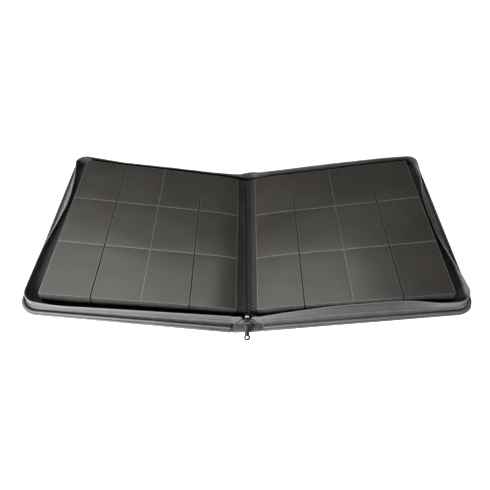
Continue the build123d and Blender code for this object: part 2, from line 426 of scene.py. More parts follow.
def beadTree(name, withCore):
    tree = bpy.data.node_groups.new(name, "GeometryNodeTree")
    sockets = [("Geometry", "INPUT", "Geometry")]
    sockets += [(label, "INPUT", "Float") for label in ("Spacing", "Length", "Width", "Height", "Core")]
    sockets += [("Finish", "INPUT", "Material"), ("Geometry", "OUTPUT", "Geometry")]
    for label, way, kind in sockets:
        tree.interface.new_socket(label, in_out=way, socket_type="NodeSocket" + kind)
    start = putNode(tree, "NodeGroupInput", {}).outputs
    curve = putNode(tree, "GeometryNodeMeshToCurve", {}, Mesh=start["Geometry"]).outputs["Curve"]
    spaced = putNode(tree, "GeometryNodeResampleCurve", {"mode": "LENGTH"}, Curve=curve, Length=start["Spacing"])
    tangent = putNode(tree, "GeometryNodeInputTangent", {})
    turned = putNode(tree, "FunctionNodeAlignRotationToVector", {"axis": "X"}, Vector=tangent.outputs["Tangent"])
    ball = putNode(tree, "GeometryNodeMeshUVSphere",
                   {"Segments": bead["segments"], "Rings": bead["rings"], "Radius": 0.5})
    size = putNode(tree, "ShaderNodeCombineXYZ", {}, X=start["Length"], Y=start["Width"], Z=start["Height"])
    vary = putNode(tree, "FunctionNodeRandomValue", {"data_type": "FLOAT", "Min": bead["smallest"],
                                                     "Max": bead["largest"], "Seed": bead["seed"]})
    scaled = putNode(tree, "ShaderNodeVectorMath", {"operation": "SCALE"},
                     Vector=size.outputs["Vector"], Scale=vary.outputs[1])
    placed = putNode(tree, "GeometryNodeInstanceOnPoints", {}, Points=spaced.outputs["Curve"],
                     Instance=ball.outputs["Mesh"], Rotation=turned.outputs["Rotation"],
                     Scale=scaled.outputs["Vector"])
    result = placed.outputs["Instances"]
    if withCore:
        ring = putNode(tree, "GeometryNodeCurvePrimitiveCircle", {"Resolution": bead["coreSides"]},
                       Radius=start["Core"])
        core = putNode(tree, "GeometryNodeCurveToMesh", {"Fill Caps": True}, Curve=curve,
                       Profile_Curve=ring.outputs["Curve"])
        joined = putNode(tree, "GeometryNodeJoinGeometry", {}, Geometry=result)
        tree.links.new(core.outputs["Mesh"], joined.inputs["Geometry"])
        result = joined.outputs["Geometry"]
    real = putNode(tree, "GeometryNodeRealizeInstances", {}, Geometry=result)
    smooth = putNode(tree, "GeometryNodeSetShadeSmooth", {}, Geometry=real.outputs["Geometry"])
    finish = putNode(tree, "GeometryNodeSetMaterial", {}, Geometry=smooth.outputs["Geometry"],
                     Material=start["Finish"])
    putNode(tree, "NodeGroupOutput", {}, Geometry=finish.outputs["Geometry"])
    return tree


stitchRow = beadTree("stitchRow", False)
toothRow = beadTree("toothRow", True)


def plainMesh(host, name):  # what the host shows, as a mesh of its own
    shown = host.evaluated_get(bpy.context.evaluated_depsgraph_get())
    mesh = bpy.data.meshes.new_from_object(shown)
    bpy.data.objects.remove(host)
    mesh.name = name
    return mesh


def beadsAlong(name, tree, paths, values, material):
    verts, edges = [], []
    for path in paths:
        edges += [(len(verts) + i, len(verts) + i + 1) for i in range(len(path) - 1)]
        verts += [tuple(p) for p in path]
    mesh = bpy.data.meshes.new(name + "Path")
    mesh.from_pydata(verts, edges, [])
    host = addObject(name + "Path", mesh)
    modifier = host.modifiers.new("beads", "NODES")
    modifier.node_group = tree
    values = values | {"Finish": material}
    for item in tree.interface.items_tree:
        if item.in_out == "INPUT" and item.name in values:
            modifier[item.identifier] = values[item.name]
    return addObject(name, plainMesh(host, name))


print("tools ready")


# cover shells: coated fabric rolled round padding and board
shell = {  # each ring is its inset from the edge and its level in millimetres, over the edge to the underside
    "start": 1.5 * mm, "corner": 26 * mm, "step": 6 * mm, "lump": 0.12 * mm,
    "rings": [(9.5, 4.25), (8.6, 4.9), (7.2, 5.0), (6.4, 5.02), (6.0, 4.85), (5.7, 4.6), (5.4, 4.85), (5.0, 5.0),
              (3.4, 5.0), (2.8, 4.85), (2.5, 4.6), (2.2, 4.85), (1.6, 4.95), (0.9, 4.75), (0.35, 4.3), (0.05, 3.6),
              (0.0, 2.6), (0.1, 1.6), (0.5, 0.8), (1.3, 0.3), (2.6, 0.12), (4.3, 0.1), (4.8, 0.28), (5.1, 0.5),
              (5.4, 0.28), (5.9, 0.1), (9, 0.04), (16, 0.0)],
}
panel = {"square": 1.0 * mm, "tightest": 0.5 * mm, "turn": 12, "squareTurn": 3, "longest": 20 * mm,
         "lumpSize": 14 * mm, "lumpReach": 7}


def corners(start, length, half, corner, inset):  # the turning points round a panel, hinge side square
    radius, small = max(corner - inset, panel["tightest"]), panel["square"]
    low, high, side = start + inset, length - inset, half - inset
    points = []
    for s, y, r, first, count in ((high - radius, side - radius, radius, 90, panel["turn"]),
                                  (high - radius, radius - side, radius, 0, panel["turn"]),
                                  (low + small, small - side, small, -90, panel["squareTurn"]),
                                  (low + small, side - small, small, -180, panel["squareTurn"])):
        for k in range(count + 1):
            angle = math.radians(first - 90 * k / count)
            points.append((s + r * math.cos(angle), y + r * math.sin(angle)))
    return points


def outline(edge, inset, step):  # (s, y) round a panel, alike in number at every inset
    model, points = corners(*edge, 0), corners(*edge, inset)
    full = []
    for index, (a, b) in enumerate(points):
        after = (index + 1) % len(points)
        c, d = points[after]
        span = math.dist(model[index], model[after])
        parts = max(1, round(span / step)) if span > panel["longest"] else 1
        full += [(a + (c - a) * k / parts, b + (d - b) * k / parts) for k in range(parts)]
    return full


def outlineShell(name, place, edge, values):
    verts, uv = [], []
    for inset, level in values["rings"]:
        ring = outline(edge, inset * mm, values["step"])
        bumps = wobble(ring, panel["lumpSize"], 3.0) * values["lump"] * (inset < panel["lumpReach"])
        verts += [place(s, y, max(level * mm + bump, 0.0)) for (s, y), bump in zip(ring, bumps)]
        uv += ring
    count = len(ring)
    faces = gridFaces(len(values["rings"]), count, wrap=True)
    faces += [tuple(range(count))[::-1], tuple(range(len(verts) - count, len(verts)))]
    return makeObject(name, verts, faces, [mats["cover"]], uv=uv)


flange = {
    "pipingRadius": 1.6 * mm, "stitchEnd": 2.5 * mm, "step": 4 * mm,
    "rows": {"Inner": (5.7 * mm, 4.75 * mm), "Outer": (2.5 * mm, 4.75 * mm), "Under": (5.1 * mm, 0.35 * mm)},
    "widen": {"left": 7.0 * mm, "right": 4.5 * mm}, "narrow": {"left": 0.0, "right": 2.5 * mm},
}
flangeStitch = {"Spacing": 3.4 * mm, "Length": 2.5 * mm, "Width": 0.62 * mm, "Height": 0.5 * mm}


def pathU(start, inset, level):  # round a cover's three free sides
    radius = shell["corner"] - inset
    s1, y1 = coverLength - inset, coverHalf - inset
    straight = np.linspace(start, s1 - radius, int((s1 - radius - start) / flange["step"]))
    turn = np.linspace(0, math.pi / 2, 10)[1:]
    points = [(s, -y1) for s in straight]
    points += [(s1 - radius + radius * math.sin(a), -y1 + radius - radius * math.cos(a)) for a in turn]
    points += [(s1, y) for y in np.linspace(radius - y1, y1 - radius, int(2 * (y1 - radius) / flange["step"]))[1:]]
    points += [(s1 - radius + radius * math.cos(a), y1 - radius + radius * math.sin(a)) for a in turn]
    points += [(s, y1) for s in straight[-2::-1]]
    return [(s, y, level) for s, y in points]


def widened(s, y, amount):  # the front flange grows wider toward the spine
    share = np.clip((-y - bandHalf) / (coverHalf - bandHalf), 0, 1)
    return y - share * amount * np.clip(1 - s / coverLength, 0, 1)


def makeCover(name, side):
    def place(s, y, n):
        outer = min(max((s - bandLength) / (coverLength - bandLength), 0), 1)
        s = s - outer * flange["narrow"][name] * (coverHalf - y) / (2 * coverHalf)
        return coverPoint(side, s, widened(s, y, flange["widen"][name]), n)

    body, radius = f"{name}_cover", flange["pipingRadius"]
    piece = outlineShell(f"{name}CoverShell", place, (shell["start"], coverLength, coverHalf, shell["corner"]), shell)
    settle(piece, body, "cover_skin", f"{name}_cover_skin", f"{name}_cover_foam", f"{name}_cover_board")
    path = [place(*p) for p in pathU(shell["start"] + mm, pipingInset, coverThick + radius)]
    piping = tube(f"{name}Piping", path, radius, [mats["cover"]], 14)
    settle(piping, body, "piping", f"{name}_cover_piping")
    for label, (inset, height) in flange["rows"].items():
        path = [place(*p) for p in pathU(flange["stitchEnd"], inset, height)]
        row = beadsAlong(f"{name}Stitches{label}", stitchRow, [path], flangeStitch, mats["sewingThread"])
        settle(row, body, "piping")
    makeLining(name, side, place)


lining = {
    "start": 3.2 * mm, "gap": 1.8 * mm, "corner": 7 * mm, "pucker": 0.22 * mm, "puckerSize": 40 * mm,
    "low": 4.25 * mm, "sunk": 0.05 * mm, "rows": 46, "columns": 48,
}


def makeLining(name, side, place):
    s = np.linspace(lining["start"], bandLength - lining["gap"], lining["rows"])
    y = np.linspace(-1, 1, lining["columns"]) * (bandHalf - lining["gap"])
    grid = flatGrid(s, y)
    corner = np.clip((grid[..., 0] - (s[-1] - lining["corner"])) / lining["corner"], 0, 1)
    grid[..., 1] *= 1 - (1 - np.sqrt(1 - corner**2 * 0.99)) * lining["corner"] / bandHalf
    folds = wobble(grid.reshape(-1, 2), lining["puckerSize"], 7.0 + side).reshape(grid.shape[:2])
    front = lifted(place, grid, coverThick - lining["sunk"] + folds * lining["pucker"])
    piece = thinSolid(f"{name}Lining", front, lifted(place, grid, lining["low"]), [mats["lining"]], grid)
    settle(piece, f"{name}_cover", "lining", f"{name}_cover_lining")


for sideName, side in sides.items():
    makeCover(sideName, side)
print("covers made")


# zip band: gusset, tape and coil round three sides of each cover
band = {
    "start": 1.7 * mm, "corner": 20 * mm, "fabric": 0.7 * mm, "step": 4.5 * mm, "ripple": 0.35 * mm,
    "rippleSize": 22 * mm, "rippleFrom": 2 * mm, "turnIn": 2.2 * mm, "gussetRows": 7, "tapeRows": 11,
    "tapeLow": 2.2 * mm, "tapeTop": 0.9 * mm, "hem": 0.55 * mm, "stitchDown": 1.5 * mm, "evenings": 12,
    "profile": 24, "steepest": 0.92, "keep": 0.06,
}
lean = {  # how far the coil leans in, by place along each run, in millimetres
    "right": {
        "front": [(0, 0.5), (60, 6), (116, 11.5), (202, 11.5), (228, 6.5), (252, -0.5), (277, 0.3)],
        "outer": [(-136, 0.3), (-128, 0.8), (-112, 2.8), (-73, 7.5), (-47, 11), (0, 13.2), (15, 13.2), (59, 11),
                  (100, 3.2), (136, 0)],
        "back": [(0, -5), (38, -4.5), (108, -5.5), (176, -5), (241, -3), (277, 0)],
        "cornerFront": (0.3, 0), "cornerBack": (0, -1.5),
    },
    "left": {
        "front": [(0, 0.5), (160, -1.5), (250, -3.0), (277, 0)],
        "outer": [(-136, 0), (-55, 1.6), (-28, 5.8), (1, 8.3), (42, 11), (63, 10), (98, 7.5), (136, 0)],
        "back": [(0, 1), (40, 3), (109, 3), (176, 4), (220, 4.5), (277, 0)],
        "cornerFront": (0, 0.5), "cornerBack": (0, -0.5),
    },
}
toothSizes = {"Spacing": 2.0 * mm, "Length": 1.15 * mm, "Width": 2.3 * mm, "Height": 1.9 * mm, "Core": 0.55 * mm}
seamStitch = {"Spacing": 3.2 * mm, "Length": 2.3 * mm, "Width": 0.55 * mm, "Height": 0.55 * mm}
bandHeight = coilTop - coverThick


def bandRuns():
    r = band["corner"]
    s1, y1 = bandLength - band["fabric"], bandHalf - band["fabric"]
    straight = np.linspace(band["start"], s1 - r, int((s1 - r) / band["step"]))
    outer = np.linspace(-y1 + r, y1 - r, int(2 * (y1 - r) / band["step"]))
    turn = np.linspace(0, math.pi / 2, 12)
    return {
        "front": [(s, -y1, 0, 1, s / mm) for s in straight],
        "cornerFront": [(s1 - r + r * math.sin(a), -y1 + r - r * math.cos(a), -math.sin(a), math.cos(a), a)
                        for a in turn],
        "outer": [(s1, y, -1, 0, y / mm) for y in outer],
        "cornerBack": [(s1 - r + r * math.cos(a), y1 - r + r * math.sin(a), -math.cos(a), -math.sin(a), a)
                       for a in turn],
        "back": [(s, y1, 0, -1, s / mm) for s in straight[::-1]],
    }


def bandProfile(leaning):  # (inward, up) from the cover's top to the coil, the fabric keeping its length
    parts = band["profile"]
    full = bandHeight / parts
    drift, rise, points = 0.0, 0.0, [(0.0, 0.0)]
    for k in range(parts):
        across = 1.5 * leaning * math.sqrt((k + 0.5) / parts) / parts
        across = max(-band["steepest"] * full, min(band["steepest"] * full, across))
        drift += across
        rise += math.sqrt(full**2 - across**2)
        points.append((drift, rise))
    return np.array(points)


def bandAt(profile, height):  # a point part way up the profile
    k = height / bandHeight * (len(profile) - 1)
    i = min(int(k), len(profile) - 2)
    return profile[i] + (profile[i + 1] - profile[i]) * (k - i)


def makeBandRun(name, side, run, stations):
    amounts = lean[name][run]
    straight = isinstance(amounts, list)
    if straight:
        places, values = zip(*amounts)
        leans = smoothRow(np.interp([station[4] for station in stations], places, values), band["evenings"]) * mm
    else:
        leans = [(amounts[0] + amounts[1] * math.sin(2 * station[4]) ** 2) * mm for station in stations]
    gusset, tape, coil, hem, seam = [], [], [], [], []
    top, fabric = gussetTop - coverThick, band["fabric"]
    gussetHeights = np.linspace(0, top, band["gussetRows"])
    tapeHeights = np.linspace(band["tapeLow"], bandHeight - band["tapeTop"], band["tapeRows"])
    for (s, y, inS, inY, _), leaning in zip(stations, leans):
        profile = bandProfile(leaning)
        ripple = band["ripple"] * noise.noise(Vector((s / band["rippleSize"], y / band["rippleSize"], side)))
        ease = min(1.0, abs(leaning) / band["rippleFrom"]) if straight else 0.0

        def at(height, offset):
            inward, up = bandAt(profile, height)
            inward += offset + ripple * ease * height / bandHeight
            return coverPoint(side, s + inS * inward, y + inY * inward, coverThick + up)

        gusset.append([(at(h, -fabric), at(h, 0)) for h in gussetHeights])
        tape.append([(at(h, 0.02 * mm), at(h, fabric)) for h in tapeHeights])
        coil.append(at(bandHeight, fabric / 2))
        hem.append(at(top, -fabric / 2))
        seam.append(at(top - band["stitchDown"], -fabric - 0.1 * mm))
    along = lengthsAlong([station[:2] for station in stations])
    label = name + run[0].upper() + run[1:]
    pieces = {}
    for part, rows, heights, material, slot in (("Gusset", gusset, gussetHeights, "cover", "cover_skin"),
                                                ("Tape", tape, tapeHeights, "zip", "zip_fabric")):
        grid = np.array(rows)
        piece = thinSolid(label + part, grid[:, :, 0], grid[:, :, 1], [mats[material]], flatGrid(along, heights))
        pieces[part] = piece, slot
    pieces["Coil"] = beadsAlong(label + "Coil", toothRow, [coil], toothSizes, mats["coilNylon"]), "zip_coil"
    pieces["Hem"] = tube(label + "Hem", hem, band["hem"], [mats["cover"]], 8), "piping"
    pieces["Seam"] = beadsAlong(label + "Seam", stitchRow, [seam], seamStitch, mats["sewingThread"]), "piping"
    for part, (piece, slot) in pieces.items():
        nodes = [f"{name}_zip_{part.lower()}"] if run == "outer" and part in ("Gusset", "Tape", "Coil") else []
        settle(piece, f"{name}_cover", slot, *nodes)
        if run in ("front", "back"):
            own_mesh(piece)
        elif run == "outer":
            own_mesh(piece)


for sideName, side in sides.items():
    for run, stations in bandRuns().items():
        makeBandRun(sideName, side, run, stations)
print("zip bands made")


# spine, hinge strips and binding
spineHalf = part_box("spine_skin")[1].x
stripLow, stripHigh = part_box("right_hinge_strip")
spine = {
    "corner": 1.6 * mm, "step": 5 * mm, "lump": 0.1 * mm, "rowLevel": 3.3 * mm, "swell": 0.45,
    "groove": 4.8 * mm, "grooveLevel": 0.12 * mm,
    "rings": [(2.4, 3.15), (1.5, 3.35), (0.8, 3.2), (0.25, 2.7), (0.0, 2.0), (0.0, 1.2), (0.25, 0.55), (0.9, 0.2),
              (2.4, 0.08), (4.2, 0.08), (4.8, 0.3), (5.4, 0.08), (9, 0.0)],
}
innerCloth = {"across": 18, "along": 60, "pucker": 0.12 * mm, "puckerSize": 18 * mm, "sunk": 0.05 * mm,
              "under": 0.4 * mm}
hingeStrip = {"across": 18, "along": 70, "valley": 0.9 * mm, "slope": 0.5 * mm, "tuck": 3 * mm, "rise": 3.1 * mm,
              "top": 1.15 * mm, "low": 0.3 * mm, "short": 0.3 * mm}


def spineReach(x, y):  # carries the front flange across the spine
    left, right = flange["widen"]["left"], flange["widen"]["right"]
    return widened(0, y, (left + right) / 2 + (right - left) / 2 * np.clip(x / hinge.x, -1, 1))


def swell(y):  # thickens the spine's front edge to the covers' height
    return 1 + spine["swell"] * min(max((-y - bandHalf) / (coverHalf - bandHalf), 0), 1)


def makeSpine():
    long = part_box("spine_skin")[1].y
    piece = outlineShell("spineShell", lambda s, y, n: (s, spineReach(s, y), n * swell(y)),
                         (-spineHalf, spineHalf, long, spine["corner"]), spine)
    settle(piece, "spine", "cover_skin", "spine_skin", "spine_board")
    for name, node in (("spineLining", "spine_lining"), ("bindingStrip", "binding_strip")):
        low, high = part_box(node)
        y = np.linspace(-1, 1, innerCloth["along"]) * min(high.y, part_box("back_end_gusset")[0].y)
        grid = flatGrid(np.linspace(low.x, high.x, innerCloth["across"]), y)
        folds = wobble(grid.reshape(-1, 2), innerCloth["puckerSize"], 2.0).reshape(grid.shape[:2])
        folds *= innerCloth["pucker"]
        front = np.dstack([grid, high.z - innerCloth["sunk"] + folds])
        back = np.dstack([grid, np.full(grid.shape[:2], low.z - innerCloth["under"])])
        sheet = thinSolid(name, front, back, [mats["lining"]], grid)
        settle(sheet, "spine", "lining", node)
    rows = [[(s * (spineHalf - spine["groove"]), y, spine["grooveLevel"])
             for y in np.linspace(-1, 1, 80) * (long - 5 * mm)] for s in (-1, 1)]
    for inset, _ in flange["rows"].values():
        for end in (-1, 1):
            y = end * (coverHalf - inset)
            rows.append([(x, spineReach(x, y), spine["rowLevel"] * swell(y))
                         for x in np.linspace(-1, 1, 14) * (spineHalf - 1.5 * mm)])
    stitches = beadsAlong("spineStitches", stitchRow, rows, flangeStitch, mats["sewingThread"])
    settle(stitches, "spine", "piping")
    for name, side in sides.items():
        makeHingeStrip(name, side)


def makeHingeStrip(name, side):
    x = np.linspace(stripLow.x - hingeStrip["tuck"], stripHigh.x + hingeStrip["tuck"], hingeStrip["across"])
    grid = flatGrid(x, np.linspace(-1, 1, hingeStrip["along"]) * (stripHigh.y - hingeStrip["short"]))
    place = np.clip((grid[..., 0] - stripLow.x) / (stripHigh.x - stripLow.x), 0, 1)
    valley = np.sin(math.pi * place) * hingeStrip["valley"] + place * hingeStrip["slope"]
    y = spineReach(grid[..., 0] * side, grid[..., 1])
    rise = np.clip((-grid[..., 1] - bandHalf) / (coverHalf - bandHalf), 0, 1) * hingeStrip["rise"]
    front = np.dstack([grid[..., 0] * side, y, hingeStrip["top"] + valley * 0.7 + rise])
    back = np.dstack([grid[..., 0] * side, y, hingeStrip["low"] + valley])
    piece = thinSolid(f"{name}HingeStrip", front, back, [mats["cover"]], grid)
    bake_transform(piece)
    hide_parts(f"{name}_hinge_strip")


makeSpine()

endWall = {
    "across": 26, "thick": 0.35 * mm, "narrow": 6.0 * mm, "wide": 17.5 * mm, "seam": 0.55 * mm, "lap": 0.4 * mm,
    "notch": 4.8 * mm, "fade": 0.7, "coilFrom": 1.7, "belly": 0.8 * mm, "slot": 0.5, "blendFrom": 3 * mm,
    "lean": {"front": 1.2 * mm, "back": -2.5 * mm}, "settle": {"left": 0.55, "right": 0.4},
}
wallHalf = bandHalf - band["fabric"] / 2


def bandStart(name, side, end, direction):  # the band's edge beside the hinge, from its foot up to the coil
    places, values = zip(*lean[name][end])
    profile = bandProfile(np.interp(band["start"] / mm, places, values) * mm)
    return np.array([coverPoint(side, band["start"] + endWall["lap"], direction * (wallHalf - a), coverThick + b)
                     for a, b in profile])


def wallGrid(name, end, direction, low, high, outer):  # from the middle of the spine out to the band
    profile = bandProfile(endWall["lean"][end])
    middle = np.array([(0, direction * (wallHalf - a), low.z + (high.z - low.z) * b / bandHeight)
                       for a, b in profile])
    t = np.linspace(0, 1, endWall["across"])[:, None, None]
    ease = np.clip(t / endWall["settle"][name], 0, 1)
    ease = ease * ease * (3 - 2 * ease)
    grid = middle + (outer - middle) * np.concatenate([t, ease, t], -1)
    if end == "front":  # lower in the middle, where the slider stands
        past = np.clip((np.abs(grid[:, -1, 0]) / endWall["notch"] - 1) / endWall["fade"], 0, 1)
        share = (endWall["slot"] + (1 - endWall["slot"]) * past)[:, None]
        grid[..., 2] = low.z + (grid[..., 2] - low.z) * share
    v = np.linspace(0, 1, grid.shape[1])
    grid[..., 1] += direction * endWall["belly"] * np.sin(math.pi * v) * np.sin(math.pi * t[..., 0])
    return grid


def makeEndWall(name, side, end, direction):
    low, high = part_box(f"{end}_end_gusset")
    outer = bandStart(name, side, end, direction)
    grid = wallGrid(name, end, direction, low, high, outer)
    offset = np.array([0, direction * endWall["thick"], 0])
    edge = np.linspace(0, 1, grid.shape[1]) * (endWall["narrow"] - endWall["wide"]) + endWall["wide"]
    centres = np.abs(grid[:-1, :-1, 0] + grid[1:, 1:, 0]) / 2
    material = (centres > edge[None, 1:]).astype(int).ravel().tolist()
    label = f"{name}{end.capitalize()}End"
    wall = thinSolid(label + "Wall", grid + offset, grid - offset, [mats["lining"], mats["cover"]],
                     grid[..., [0, 2]], material)
    if name == "left":
        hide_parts(f"{end}_end_gusset")
    path = [[np.interp(edge[j], np.abs(grid[:, j, 0]), grid[:, j, k]) for k in range(3)]
            for j in range(1, len(edge) - 1)]
    # the seam line is near black: painted shadow along the gap between the band's end and the end wall, over a real
    # seam
    seam = tube(label + "Seam", np.array(path) + offset * 1.4, endWall["seam"], [mats["seamShadowPaint"]], 8)
    clear = np.abs(grid[:, -1, 0]) > endWall["notch"] * endWall["coilFrom"]
    first = 0 if end == "back" else int(np.argmax(clear))
    teeth = beadsAlong(label + "Coil", toothRow, [grid[first:, -1]], toothSizes, mats["coilNylon"])
    for item in (wall, seam, teeth):
        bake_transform(item)


for end, direction in (("front", -1), ("back", 1)):
    for sideName, side in sides.items():
        makeEndWall(sideName, side, end, direction)
print("spine and end walls made")


# metal: slider, pull and stops
def plateFromOutline(name, loops, thick, bevel, place):
    data = bpy.data.curves.new(name + "Outline", "CURVE")
    data.dimensions, data.fill_mode = "2D", "BOTH"
    data.extrude, data.offset = thick / 2 - bevel, -bevel
    data.bevel_depth, data.bevel_resolution = bevel, 2
    for loop in loops:
        spline = data.splines.new("POLY")
        spline.points.add(len(loop) - 1)
        spline.points.foreach_set("co", [c for x, y in loop for c in (x, y, 0, 1)])
        spline.use_cyclic_u = True
    mesh = plainMesh(addObject(name + "Outline", data), name)
    mesh.transform(place)
    finishMesh(mesh, 40, 1e-6)
    mesh.materials.clear()
    mesh.materials.append(mats["metal"])
    return addObject(name, mesh)


def joinPieces(name, parts):
    work = bmesh.new()
    for part in parts:
        work.from_mesh(part.data)
    mesh = bpy.data.meshes.new(name)
    work.to_mesh(mesh)
    work.free()
    mesh.materials.append(mats["metal"])
    mesh.polygons.foreach_set("material_index", [0] * len(mesh.polygons))
    for part in parts:
        bpy.data.objects.remove(part)
    return addObject(name, mesh)


def roundLoop(points, radii, steps=6):  # a closed outline with each corner rounded
    loop = []
    for k, (point, radius) in enumerate(zip(points, radii)):
        p = Vector(point)
        a, b = Vector(points[k - 1]), Vector(points[(k + 1) % len(points)])
        if radius <= 0:
            loop.append(tuple(p))
            continue
        start, end = p + (a - p).normalized() * radius, p + (b - p).normalized() * radius
        for t in np.linspace(0, 1, steps):
            q = start * (1 - t) ** 2 + p * 2 * t * (1 - t) + end * t**2
            loop.append((q.x, q.y))
    return loop


sliderLow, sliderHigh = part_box("zip_slider")
pivot = Vector(joints["pull_swing"]["pos_m"])
ring = Vector(frame["record"]["mounts"][1]["pos_m"])
upright = Matrix.Rotation(math.radians(90), 4, "X")
slider = {"plate": 1.2 * mm, "bevel": 0.45 * mm, "waist": 0.82, "foot": 0.55, "shoulder": 0.4, "post": 0.9 * mm,
          "behindPull": 1.2 * mm, "bail": 1.1 * mm, "bailDown": 1.2 * mm, "crown": 2.2 * mm, "crownRadius": 1.5 * mm}
pull = {"width": 8.2 * mm, "thick": 1.6 * mm, "window": 7.0 * mm, "hole": 2.1 * mm, "eye": 4.8 * mm,
        "arm": 1.6 * mm, "bar": 0.8 * mm, "neck": 5.6 * mm, "neckAt": 0.52}


def makeSlider():
    middle = (sliderLow.z + sliderHigh.z) / 2
    halfX, halfZ = sliderHigh.x, (sliderHigh.z - sliderLow.z) / 2
    plate, waist, foot = slider["plate"], halfX * slider["waist"], halfX * slider["foot"]
    shield = roundLoop([(-halfX, halfZ), (halfX, halfZ), (waist, -halfZ * slider["shoulder"]), (foot, -halfZ),
                        (-foot, -halfZ), (-waist, -halfZ * slider["shoulder"])],
                       [2.4 * mm, 2.4 * mm, 1.6 * mm, 1.4 * mm, 1.4 * mm, 1.6 * mm])
    face, inner = pivot.y + slider["behindPull"], sliderHigh.y - plate / 2
    parts = [plateFromOutline(f"sliderPlate{k}", [shield], plate, slider["bevel"],
                              Matrix.Translation((0, y, middle)) @ upright)
             for k, y in enumerate((face + plate / 2, inner))]
    post = slider["post"] / 2
    wedge = roundLoop([(-post, halfZ * 0.95), (post, halfZ * 0.95), (post, -halfZ * 0.4), (-post, -halfZ * 0.4)],
                      [0.2 * mm] * 4, 3)
    parts.append(plateFromOutline("sliderPost", [wedge], inner - face, 0.1 * mm,
                                  Matrix.Translation((0, (inner + face) / 2, middle)) @ upright))
    deep = face - sliderLow.y - slider["bail"] / 2
    arch = [(0, face + 0.4 * mm - deep * math.sin(math.pi * t) ** 0.45,
             middle - (halfZ - slider["bailDown"]) * math.cos(math.pi * t)) for t in np.linspace(0, 1, 25)]
    parts.append(tube("sliderBail", arch, slider["bail"] / 2 + 0.1 * mm, [mats["metal"]], 12, up=(1, 0, 0)))
    # the crown is made of light metal: painted highlight on the slider's top
    crown = [(x, (face + inner) / 2 - plate * 0.2, middle + halfZ - 0.4 * mm)
             for x in np.linspace(-slider["crown"], slider["crown"], 9)]
    settle(tube("sliderCrown", crown, slider["crownRadius"], [mats["bright"]], 14), "slider", "slider_metal")
    settle(joinPieces("zipSlider", parts), "slider", "slider_metal", "zip_slider")


def makePull():
    hang = (ring - pivot).normalized()
    bottom = -(ring - pivot).length
    half, eye, bar, hole = pull["width"] / 2, pull["eye"], pull["bar"], pull["hole"]
    right = [(half * 0.78, bar - mm), (half * 0.86, -pull["window"]), (pull["neck"] / 2, bottom * pull["neckAt"]),
             (half * 0.86, bottom + eye * 0.9)]
    arcs = [(eye * math.cos(a), bottom + eye * math.sin(a)) for a in np.linspace(0.5, -math.pi - 0.5, 30)]
    body = [(-half * 0.6, bar), (half * 0.6, bar)] + right + arcs + [(-x, y) for x, y in reversed(right)]
    arm, low = half - pull["arm"], -pull["window"] + 0.6 * mm
    window = roundLoop([(-arm, -bar), (arm, -bar), (arm, low), (-arm, low)], [0.8 * mm] * 4)
    circle = [(hole * math.cos(a), bottom + hole * math.sin(a))
              for a in np.linspace(0, 2 * math.pi, 32, endpoint=False)]
    place = Matrix.Translation(pivot) @ Matrix.Rotation(-math.atan2(-hang.y, -hang.z), 4, "X") @ upright
    blade = plateFromOutline("pullBlade", [body, window[::-1], circle[::-1]], pull["thick"], 0.4 * mm, place)
    rod = [(x, pivot.y, pivot.z) for x in np.linspace(-half * 0.8, half * 0.8, 7)]
    piece = joinPieces("pullTab", [blade, tube("pullBar", rod, bar, [mats["metal"]], 12)])
    settle(piece, "pull", "slider_metal", "pull_tab")


def makeStops():
    for end in ("front", "back"):
        low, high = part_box(f"{end}_zip_stop")
        middle = (low + high) / 2
        x, z = (high.x - low.x) / 2, (high.z - low.z) / 2
        top = [(-x, z), (-x * 0.35, z * 0.55), (x * 0.35, z * 0.55), (x, z)]  # waisted above and below
        loop = roundLoop(top + [(a, -b) for a, b in reversed(top)], [0.8 * mm, 0.3 * mm, 0.3 * mm, 0.8 * mm] * 2, 5)
        piece = plateFromOutline(f"{end}Stop", [loop], high.y - low.y, 0.35 * mm,
                                 Matrix.Translation(middle) @ upright)
        settle(piece, "spine", "slider_metal", f"{end}_zip_stop")


makeSlider()
makePull()
makeStops()
print("slider, pull and stops made")


# leaves: a dark core between two layers of pocket film
leaf = {
    "columns": 4, "rows": 3, "slit": 1.15 * mm, "film": 0.45 * mm, "weld": 0.9 * mm, "fine": 0.4 * mm,
    "border": 0.9 * mm, "lip": 0.45 * mm, "puff": 0.2 * mm, "puffReach": 5 * mm, "lipLift": 0.12 * mm,
    "lipReach": 4 * mm, "sunk": 0.12 * mm, "grain": 0.05 * mm, "wave": 0.55 * mm, "droop": 3.0 * mm,
    "droopReach": 42 * mm, "spacing": 7.5 * mm, "coarse": 1.6, "ragged": 0.35 * mm, "underStep": 4,
    "coreGap": 0.02 * mm,
}


def gridLines(low, high, welds, spacing):
    marks = {low, high}
    for a, inward in ((low, 1), (high, -1)):
        marks |= {a + inward * d * mm for d in (0.45, 0.9, 1.8, 3.6)}
    for w in welds:
        marks |= {w + d * mm for d in (-3.6, -1.8, -0.9, -0.4, 0.4, 0.9, 1.8, 3.6)}
    marks = sorted(marks)
    lines = []
    for a, b in zip(marks, marks[1:]):
        parts = max(1, math.ceil((b - a) / spacing))
        lines += [a + (b - a) * k / parts for k in range(parts)]
    return np.array(lines + [marks[-1]])


def leafDroop(s, number):
    share = 1 - (number - 1) / (leafCount - 1)
    return leaf["droop"] * share * np.clip(1 - s / leaf["droopReach"], 0, 1) ** 2


def leafWave(s, y, side):  # the sheet's gentle waves, alike in every leaf so that they nest
    flat = np.stack([s.ravel(), y.ravel()], -1)
    waves = wobble(flat, 85 * mm, 5.0).reshape(s.shape) + 0.35 * wobble(flat, 34 * mm, 9.0).reshape(s.shape)
    return side * leaf["wave"] * waves * np.clip(s / (30 * mm), 0, 1)


def leafPoints(side, s, y, level):
    return [leafPoint(side, a, b, c) for a, b, c in zip(s.ravel(), y.ravel(), level.ravel())]


